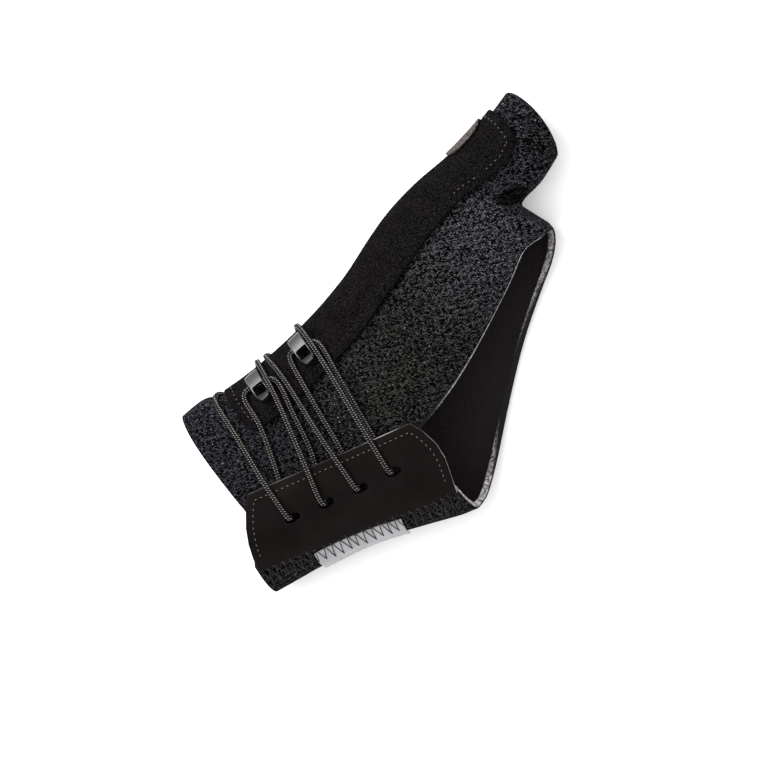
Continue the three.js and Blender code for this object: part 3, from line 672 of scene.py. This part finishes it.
# %% Unwrapping, at the cloth's own size
MAP_MARGIN = 0.001  # share of the map left between its parts
bpy.context.view_layer.objects.active = sleeve
bpy.ops.object.mode_set(mode="EDIT")
bpy.ops.mesh.select_all(action="SELECT")
bpy.ops.uv.unwrap(method="ANGLE_BASED", margin=MAP_MARGIN)
bpy.ops.object.mode_set(mode="OBJECT")
weave = sleeve.data.uv_layers.active
weave.name = "weave"
for part in map_parts:
    faces = [sleeve.data.polygons[index] for index in part]
    flat = [[complex(*weave.uv[k].vector) for k in face.loop_indices] for face in faces]
    solid = [[sleeve.data.vertices[v].co for v in face.vertices] for face in faces]
    mapped = sum(abs(sum((a.conjugate() * b).imag for a, b in zip(f, f[1:] + f[:1]))) / 2 for f in flat)
    size = math.sqrt(sum(face.area for face in faces) / mapped)
    spots = [spot for face in flat for spot in face]
    plan = [complex(p.x, p.y) for face in solid for p in face]
    spot_mean, plan_mean = sum(spots) / len(spots), sum(plan) / len(plan)
    turn = sum((b - plan_mean) * (a - spot_mean).conjugate() for a, b in zip(spots, plan))
    factor = size * turn / abs(turn)
    for face in faces:
        for k in face.loop_indices:
            spot = (complex(*weave.uv[k].vector) - spot_mean) * factor + plan_mean
            weave.uv[k].vector = (spot.real, spot.imag)
    print("part of the map:", len(part), "faces, scaled by", round(size, 4))

# %% [markdown]
# ## Suede cover, patch and ribbon
# These are cut from flat goods and sewn on. Each is its solid, subdivided, and creases keep its cut
# edges from melting away.

# %% Suede cover, patch and ribbon
SEWN_CREASE = 0.6
RIBBON_CREASE = 0.8


def sewn_piece(node, name, material, slot, amount):
    """A sewn-on piece from its solid, rounded except at its cut edges."""
    shape = copy_of(node)
    crease(shape, amount)
    return piece_of(shape, name, [material], slot, node, levels=2)


cover = sewn_piece("stay_cover", "suede_cover", suede, "suede", SEWN_CREASE)
patch = sewn_piece("edge_patch", "dotted_patch", jersey, "patch_cloth", SEWN_CREASE)
sewn_piece("seam_ribbon", "satin_ribbon", satin, "satin_ribbon", RIBBON_CREASE)

# %% [markdown]
# ## Pull tab
# The tab is one thickness of leather with four slotted eyelets. A subdivision would pull the eyelets
# out of shape, so a Bevel rounds its rim instead. The rim shows the raw edge, and the short walls of
# the eyelets stay black.

# %% Pull tab
EDGE_ROUND = 0.3 * MM
EYELET_REACH = 8 * MM  # a rim shorter than this is the wall of an eyelet
RAW_EDGE = 1  # place in the tab's list of materials, after the leather
tab_shape = copy_of("lace_tab")
rims = sides(tab_shape)[2:]  # after the top and the underside
for group in rims:
    places = [vert.co for face in group for vert in face.verts]
    if max((a - places[0]).length for a in places) > EYELET_REACH:
        for face in group:
            face.material_index = RAW_EDGE
tab = piece_of(tab_shape, "leather_tab", [leather, raw_edge], "tab_leather", "lace_tab")
round_edges(tab, EDGE_ROUND, segments=2, angle=SHARP)
print("tab rims:", len(rims))

# %% [markdown]
# ## Lace guides
# Each front guide is a moulded bridge with a window. The window's corners are rounded first, with a
# bevel of the four upright edges inside it, and then a Bevel gives every hard edge a small radius, as a
# mould does. The plain back guides have no window and get the radius alone. Weighted normals keep the
# flat top flat in the mirror image.

# %% Lace guides
WINDOW_ROUND = 1.3 * MM
MOULD_ROUND = 0.3 * MM
HARD = math.radians(28)
FLAT = math.radians(2)
RISING = 0.5  # a normal that points up more than this belongs to the top
UPRIGHT = 0.3  # and one that leaves the plane of the top by less than this belongs to a wall


def guide(name):
    """A moulded guide from its solid, with a round-cornered window and soft edges."""
    shape = copy_of(name)
    bmesh.ops.dissolve_limit(shape, angle_limit=FLAT, verts=shape.verts[:], edges=shape.edges[:])
    rise = sum((face.normal * face.calc_area() for face in shape.faces if face.normal.z > RISING), Vector())
    rise.normalize()
    corners = []
    for edge in shape.edges:
        upright = all(abs(face.normal.dot(rise)) < UPRIGHT for face in edge.link_faces)
        if upright and not edge.is_convex and edge.calc_face_angle(0) > SHARP:
            corners.append(edge)
    if corners:
        bmesh.ops.bevel(shape, geom=corners, offset=WINDOW_ROUND, segments=4, profile=0.5, affect="EDGES",
                        material=-1)
    made = piece_of(shape, name.replace("lace_guide", "moulded_guide"), [nylon], "guide_plastic", name)
    round_edges(made, MOULD_ROUND, segments=3, angle=HARD)
    made.modifiers.new("flat_tops", "WEIGHTED_NORMAL")
    print(name, "window corners:", len(corners))


for side in ("front", "back"):
    for number in (1, 2):
        guide(f"lace_guide_{side}_{number}")

# %% [markdown]
# ## Laces
# A lace is a tube braid: four strands wind one way and four the other, each going over one and under
# the next. A pattern on a plain tube could suggest that, but its outline would stay smooth, so each
# strand is built. The light strands are thinner than the black ones and show only where they rise at a
# crossing, as flecks: their light colour is painted highlight, the gloss of the braid where a strand
# comes over. The route is read back from the solid: its rings of vertices, taken in order from one end,
# have their middles on the lace's line. The line is kept level from side to side, so that the flecks
# come up in two rows. The strands are curves with a round bevel, turned into one mesh.


# %% Round tubes along lines
def tubes(name, groups, slot, *nodes):
    """One mesh of round tubes. Each group is a material, a radius and its lines of points."""
    curve = bpy.data.curves.new(name, "CURVE")
    curve.dimensions = "3D"
    curve.bevel_depth = 1.0  # so that the radius of a point is the real one
    curve.bevel_resolution = 1
    curve.use_fill_caps = True
    for index, (material, radius, lines) in enumerate(groups):
        curve.materials.append(material)
        for line in lines:
            spline = curve.splines.new("POLY")
            spline.points.add(len(line) - 1)
            spline.material_index = index
            for point, place in zip(spline.points, line):
                point.co = (*place, 1)
                point.radius = radius
    holder = bpy.data.objects.new(name, curve)
    shape = bmesh.new()
    shape.from_mesh(holder.to_mesh())
    bpy.data.objects.remove(holder)
    piece_of(shape, name, [group[0] for group in groups], slot, *nodes)


# %% Route of a lace
LACE_SIDES = 8  # of the solid
CAP = math.radians(70)


def layers(verts):
    """Sets of vertices, each one next to the set before it."""
    seen = set(verts)
    while verts:
        yield verts
        verts = {edge.other_vert(vert) for vert in verts for edge in vert.link_edges} - seen
        seen |= verts


def route_of(name):
    """The middle line of a lace's solid, from its rings of vertices."""
    shape = copy_of(name)
    caps = [edge for edge in shape.edges if edge.calc_face_angle(0) > CAP]
    *_, furthest = layers({min(shape.verts, key=lambda vert: vert.index)})
    ring = {min(furthest, key=lambda vert: vert.index)}
    for _ in range(LACE_SIDES):
        ring |= {vert for edge in caps for vert in edge.verts if ring & set(edge.verts)}
    middles = [sum((vert.co for vert in ring), Vector()) / len(ring) for ring in layers(ring)]
    shape.free()
    return middles


# %% Even steps along a route
FINE = 24  # steps between two points of a line


def smooth_line(points, step):
    """A smooth line through the points, at even steps."""
    fine = []
    ends = [2 * points[0] - points[1], *points, 2 * points[-1] - points[-2]]
    for a, b, c, d in zip(ends, ends[1:], ends[2:], ends[3:]):
        for k in range(FINE):
            t = k / FINE
            fine.append(0.5 * (2 * b + (c - a) * t + (2 * a - 5 * b + 4 * c - d) * t ** 2
                               + (3 * b - a - 3 * c + d) * t ** 3))
    fine.append(points[-1].copy())
    even = [fine[0]]
    walked = 0.0
    for a, b in zip(fine, fine[1:]):
        gap = (b - a).length
        while walked + gap >= step * len(even):
            even.append(a.lerp(b, (step * len(even) - walked) / gap))
        walked += gap
    return even


# %% Braid
LAY = 4.3 * MM  # length of one turn of a strand
BLACK_STRAND = (0.7 * MM, 0.1 * MM, 0.36 * MM)  # ring, rise at a crossing, radius
# painted highlight: the light colour of these thin strands stands for the gloss at the crossings
HIGHLIGHT_STRAND = (0.6 * MM, 0.32 * MM, 0.115 * MM)
STRANDS = 4  # in each direction
LEVELLING = 0.06  # share of the way to level at each step


def braid(line, step):
    """The strands that wind one way, those that wind the other way, and the core, along a line."""
    ahead = (line[1] - line[0]).normalized()
    side = ahead.orthogonal().normalized()
    strands = [[[] for _ in range(STRANDS)] for _ in range(2)]
    for k, place in enumerate(line):
        ahead = (line[min(k + 1, len(line) - 1)] - line[max(k - 1, 0)]).normalized()
        level = ahead.cross(Vector((0, 0, 1)))
        side += level * LEVELLING * (1 if side.dot(level) > 0 else -1)
        side = (side - ahead * side.dot(ahead)).normalized()
        other = ahead.cross(side)
        turn = math.tau * k * step / LAY
        for way, (sign, (ring, rise, _)) in enumerate(((1, BLACK_STRAND), (-1, HIGHLIGHT_STRAND))):
            reach = ring + sign * rise * math.cos(STRANDS * turn)
            for n in range(STRANDS):
                angle = sign * turn + math.tau * n / STRANDS
                strands[way][n].append(place + reach * (math.cos(angle) * side + math.sin(angle) * other))
    return strands[0], strands[1], [line]


# %% Laces
STEP = 0.2 * MM
CORE_RADIUS = 0.5 * MM
for name in ("lace_1", "lace_2"):
    line = smooth_line(route_of(name), STEP)
    black_strands, highlight_strands, core = braid(line, STEP)
    groups = [(black_yarn, BLACK_STRAND[2], black_strands), (highlight_yarn, HIGHLIGHT_STRAND[2], highlight_strands),
              (black_yarn, CORE_RADIUS, core)]
    tubes(f"braided_{name}", groups, "braided_lace", name)
    print(name, "length in mm:", round(len(line) * STEP / MM))

# %% [markdown]
# ## Seams
# Stitches are short lengths of thread that dip into the cloth at both ends. They are built as threads
# and not drawn on the cloth, because each one catches the light. Their line follows the rim of the
# piece that is sewn down: the rim's edges are walked in order, each point is moved inwards over the top
# side, and the line is divided at the stitch pitch.


# %% Rim and surface of a side
def border(faces):
    """The longest closed line of edges round a group of faces, as points in order."""
    group = set(faces)
    ahead = {}
    for face in faces:
        for loop in face.loops:
            if loop.link_loop_radial_next.face not in group:
                ahead[loop.vert] = loop.link_loop_next.vert
    lines = []
    while ahead:
        vert = min(ahead, key=lambda found: found.index)
        line = []
        while vert in ahead:
            line.append(vert.co.copy())
            vert = ahead.pop(vert)
        lines.append(line + line[:1])
    return max(lines, key=lambda line: sum((a - b).length for a, b in zip(line, line[1:])))


def tree_of(faces):
    """A search tree over a group of faces."""
    verts = sorted({vert for face in faces for vert in face.verts}, key=lambda vert: vert.index)
    number = {vert: k for k, vert in enumerate(verts)}
    return BVHTree.FromPolygons([vert.co.copy() for vert in verts],
                                [[number[vert] for vert in face.verts] for face in faces])


# %% Line of a seam
SEAM_STEP = 0.4 * MM
LOOK = 3  # steps to either side that tell how the rim runs
CLEAR = 0.93  # share of the inset that a point has to keep from the whole rim


def seam_line(faces, surface, inset):
    """Points on a surface at a distance inside the border of its faces."""
    rim = []
    line = border(faces)
    for a, b in zip(line, line[1:]):
        count = max(1, round((b - a).length / SEAM_STEP))
        rim += [a.lerp(b, k / count) for k in range(count)]
    inner = []
    for k, place in enumerate(rim):
        ahead = (rim[(k + LOOK) % len(rim)] - rim[k - LOOK]).normalized()
        normal = surface.find_nearest(place)[1]
        inner.append(surface.find_nearest(place + normal.cross(ahead) * inset)[0])
    return [p for p in inner if min((p - q).length for q in rim) > CLEAR * inset]


# %% Stitches along a line
STITCH_PITCH = 2.2 * MM
STITCH_LENGTH = 0.65 * MM
STITCH_ARC = (  # along the stitch as a share of its length, and up in millimetres
    (-0.5, -0.1), (-0.42, 0.1), (-0.2, 0.24), (0.2, 0.24), (0.42, 0.1), (0.5, -0.1))


def stitches(line, surface):
    """Short threads along a line on a surface, at the stitch pitch."""
    made = []
    walked = 0.0
    for a, b in zip(line, line[1:]):
        gap = (b - a).length
        walked = walked + gap if gap < STITCH_PITCH else 0.0
        if walked >= STITCH_PITCH:
            walked = 0.0
            ahead = (b - a).normalized()
            thread = []
            for share, lift in STITCH_ARC:
                place, normal = surface.find_nearest(a + ahead * share * STITCH_LENGTH)[:2]
                thread.append(place + normal * lift * MM)
            made.append(thread)
    return made


# %% Seam of the tab
TAB_INSET = 3 * MM
THREAD_RADIUS = 0.15 * MM
SEWN_CLEAR = 4.5 * MM  # the seam stops short of the zigzag
tab_shape = copy_of("lace_tab")
tab_top = max(sides(tab_shape)[:2], key=lambda group: sum(face.normal.z for face in group))
tab_tree = tree_of(tab_top)
tab_rim = border(tab_top)
left_corner = min(tab_rim, key=lambda p: p.x + p.y)
right_corner = min(tab_rim, key=lambda p: p.y - p.x)
sewn = (right_corner - left_corner).normalized()
tab_line = [p for p in seam_line(tab_top, tab_tree, TAB_INSET)
            if sewn.x * (p.y - left_corner.y) - sewn.y * (p.x - left_corner.x) > SEWN_CLEAR]
tab_threads = stitches(tab_line, tab_tree)
tubes("tab_stitches", [(light_thread, THREAD_RADIUS, tab_threads)], "light_thread")
tab_shape.free()
print("stitches on the tab:", len(tab_threads))

# %% Seam of the suede cover
COVER_INSET = 3.5 * MM
SUNK_RADIUS = 0.12 * MM
# painted shade: between these places the seam is made with the darker thread, where it lies sunk in the nap
SHADED_FROM, SHADED_TO = -60 * MM, 46 * MM  # the thread is dark between these places along the hand
cover_shape = copy_of("stay_cover")
cover_top = sides(cover_shape)[0]
cover_tree = tree_of(cover_top)
cover_threads = stitches(seam_line(cover_top, cover_tree, COVER_INSET), cover_tree)
light = [thread for thread in cover_threads if not SHADED_FROM < thread[0].x < SHADED_TO]
dark = [thread for thread in cover_threads if SHADED_FROM < thread[0].x < SHADED_TO]
tubes("cover_stitches", [(light_thread, SUNK_RADIUS, light)], "light_thread")
tubes("cover_stitches_painted_shade", [(dark_thread, SUNK_RADIUS, dark)], "dark_thread")
cover_shape.free()
print("stitches on the cover:", len(light), "light and", len(dark), "dark")

# %% [markdown]
# The zigzag that holds the tab goes over its lower edge, so its legs are laid from above onto whatever
# is highest there: tab, ribbon or mesh. A hand-guided seam wanders a little, so each turn is moved by a
# small seeded draw.


# %% Search tree over solids
def surface_of(*names):
    """One search tree over the meshes of some solids."""
    shape = bmesh.new()
    for name in names:
        shape.from_mesh(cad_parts[name].data)
    tree = BVHTree.FromBMesh(shape)
    shape.free()
    return tree


# %% Turns of the zigzag
ZIGZAG_PITCH = 3.4 * MM
ZIGZAG_UP = 0.9 * MM  # onto the tab
ZIGZAG_DOWN = 5 * MM  # onto the end strip
ZIGZAG_WANDER = 0.35 * MM
SEED = 5
draw = random.Random(SEED)
downwards = Vector((sewn.y, -sewn.x, 0)).normalized()
turns = []
for n in range(1, int((right_corner - left_corner).length / ZIGZAG_PITCH * 2)):
    drop = ZIGZAG_DOWN if n % 2 else -ZIGZAG_UP
    wander = [draw.uniform(-ZIGZAG_WANDER, ZIGZAG_WANDER) for _ in range(2)]
    turns.append(left_corner + sewn * (n * ZIGZAG_PITCH / 2 + wander[0]) + downwards * (drop + wander[1]))
print("turns of the zigzag:", len(turns))

# %% Thread of the zigzag
ZIGZAG_RADIUS = 0.17 * MM
LEG_STEPS = 12
THREAD_LIFT = 0.15 * MM
ABOVE = 0.1  # metres, well over the brace
ground = surface_of("body_shell", "seam_ribbon", "lace_tab")
zigzag = []
for start, end in zip(turns, turns[1:]):
    thread = []
    for step in range(LEG_STEPS + 1):
        place = start.lerp(end, step / LEG_STEPS)
        hit, normal = ground.ray_cast(Vector((place.x, place.y, ABOVE)), Vector((0, 0, -1)))[:2]
        if hit:
            thread.append(hit + normal * THREAD_LIFT)
    zigzag.append(thread)
tubes("zigzag_stitches", [(dark_thread, ZIGZAG_RADIUS, zigzag)], "dark_thread")
print("zigzag legs:", len(zigzag))
